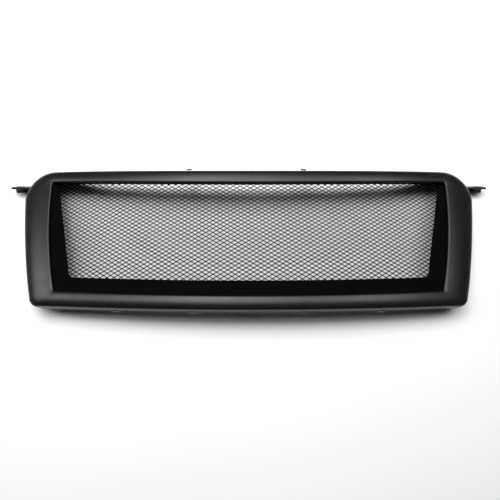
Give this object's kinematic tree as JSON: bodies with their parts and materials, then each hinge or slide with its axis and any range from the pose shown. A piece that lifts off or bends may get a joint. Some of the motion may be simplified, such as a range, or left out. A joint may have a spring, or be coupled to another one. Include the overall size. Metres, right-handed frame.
{
  "type": "front grille",
  "caption": "Bowed vehicle front grille: satin surround with a funnel-shaped inner frame holding a diamond mesh panel, side mounting brackets and spring clips.",
  "frame": {"origin": "middle of the overall length and depth, on the plane of the side rails' rear edges, which the part lies on", "axes": "+X to the right seen from the front, +Y towards the bonnet edge, +Z out of the front face"},
  "size_m": [1.0992, 0.3286, 0.081],
  "materials": {
    "satin_black_plastic": "satin black paint on moulded ABS",
    "matte_black_plastic": "fine-grained black moulded plastic",
    "black_coated_mesh": "black powder coat",
    "zinc_steel": "zinc plated",
    "bush_rubber": "moulded"
  },
  "bodies": {
    "root": {"bottom_clip_1": "zinc_steel", "bottom_clip_2": "zinc_steel", "bottom_clip_3": "zinc_steel", "bottom_clip_4": "zinc_steel", "bracket_bush_left": "bush_rubber", "bracket_bush_right": "bush_rubber", "bracket_screw_left_1": "zinc_steel", "bracket_screw_left_2": "zinc_steel", "bracket_screw_right_1": "zinc_steel", "bracket_screw_right_2": "zinc_steel", "frame_screw_bottom_1": "zinc_steel", "frame_screw_bottom_2": "zinc_steel", "frame_screw_bottom_3": "zinc_steel", "frame_screw_left_1": "zinc_steel", "frame_screw_left_2": "zinc_steel", "frame_screw_right_1": "zinc_steel", "frame_screw_right_2": "zinc_steel", "inner_frame": "matte_black_plastic", "mesh_panel": "black_coated_mesh", "mesh_retainer_bottom": "matte_black_plastic", "mesh_retainer_left": "matte_black_plastic", "mesh_retainer_right": "matte_black_plastic", "mesh_retainer_top": "matte_black_plastic", "retainer_screw_bottom_1": "zinc_steel", "retainer_screw_bottom_2": "zinc_steel", "retainer_screw_bottom_3": "zinc_steel", "retainer_screw_bottom_4": "zinc_steel", "retainer_screw_bottom_5": "zinc_steel", "retainer_screw_left_1": "zinc_steel", "retainer_screw_left_2": "zinc_steel", "retainer_screw_right_1": "zinc_steel", "retainer_screw_right_2": "zinc_steel", "retainer_screw_top_1": "zinc_steel", "retainer_screw_top_2": "zinc_steel", "retainer_screw_top_3": "zinc_steel", "retainer_screw_top_4": "zinc_steel", "retainer_screw_top_5": "zinc_steel", "side_bracket_left": "matte_black_plastic", "side_bracket_right": "matte_black_plastic", "surround": "satin_black_plastic", "top_clip_left": "zinc_steel", "top_clip_right": "zinc_steel"}
  },
  "joints": []
}
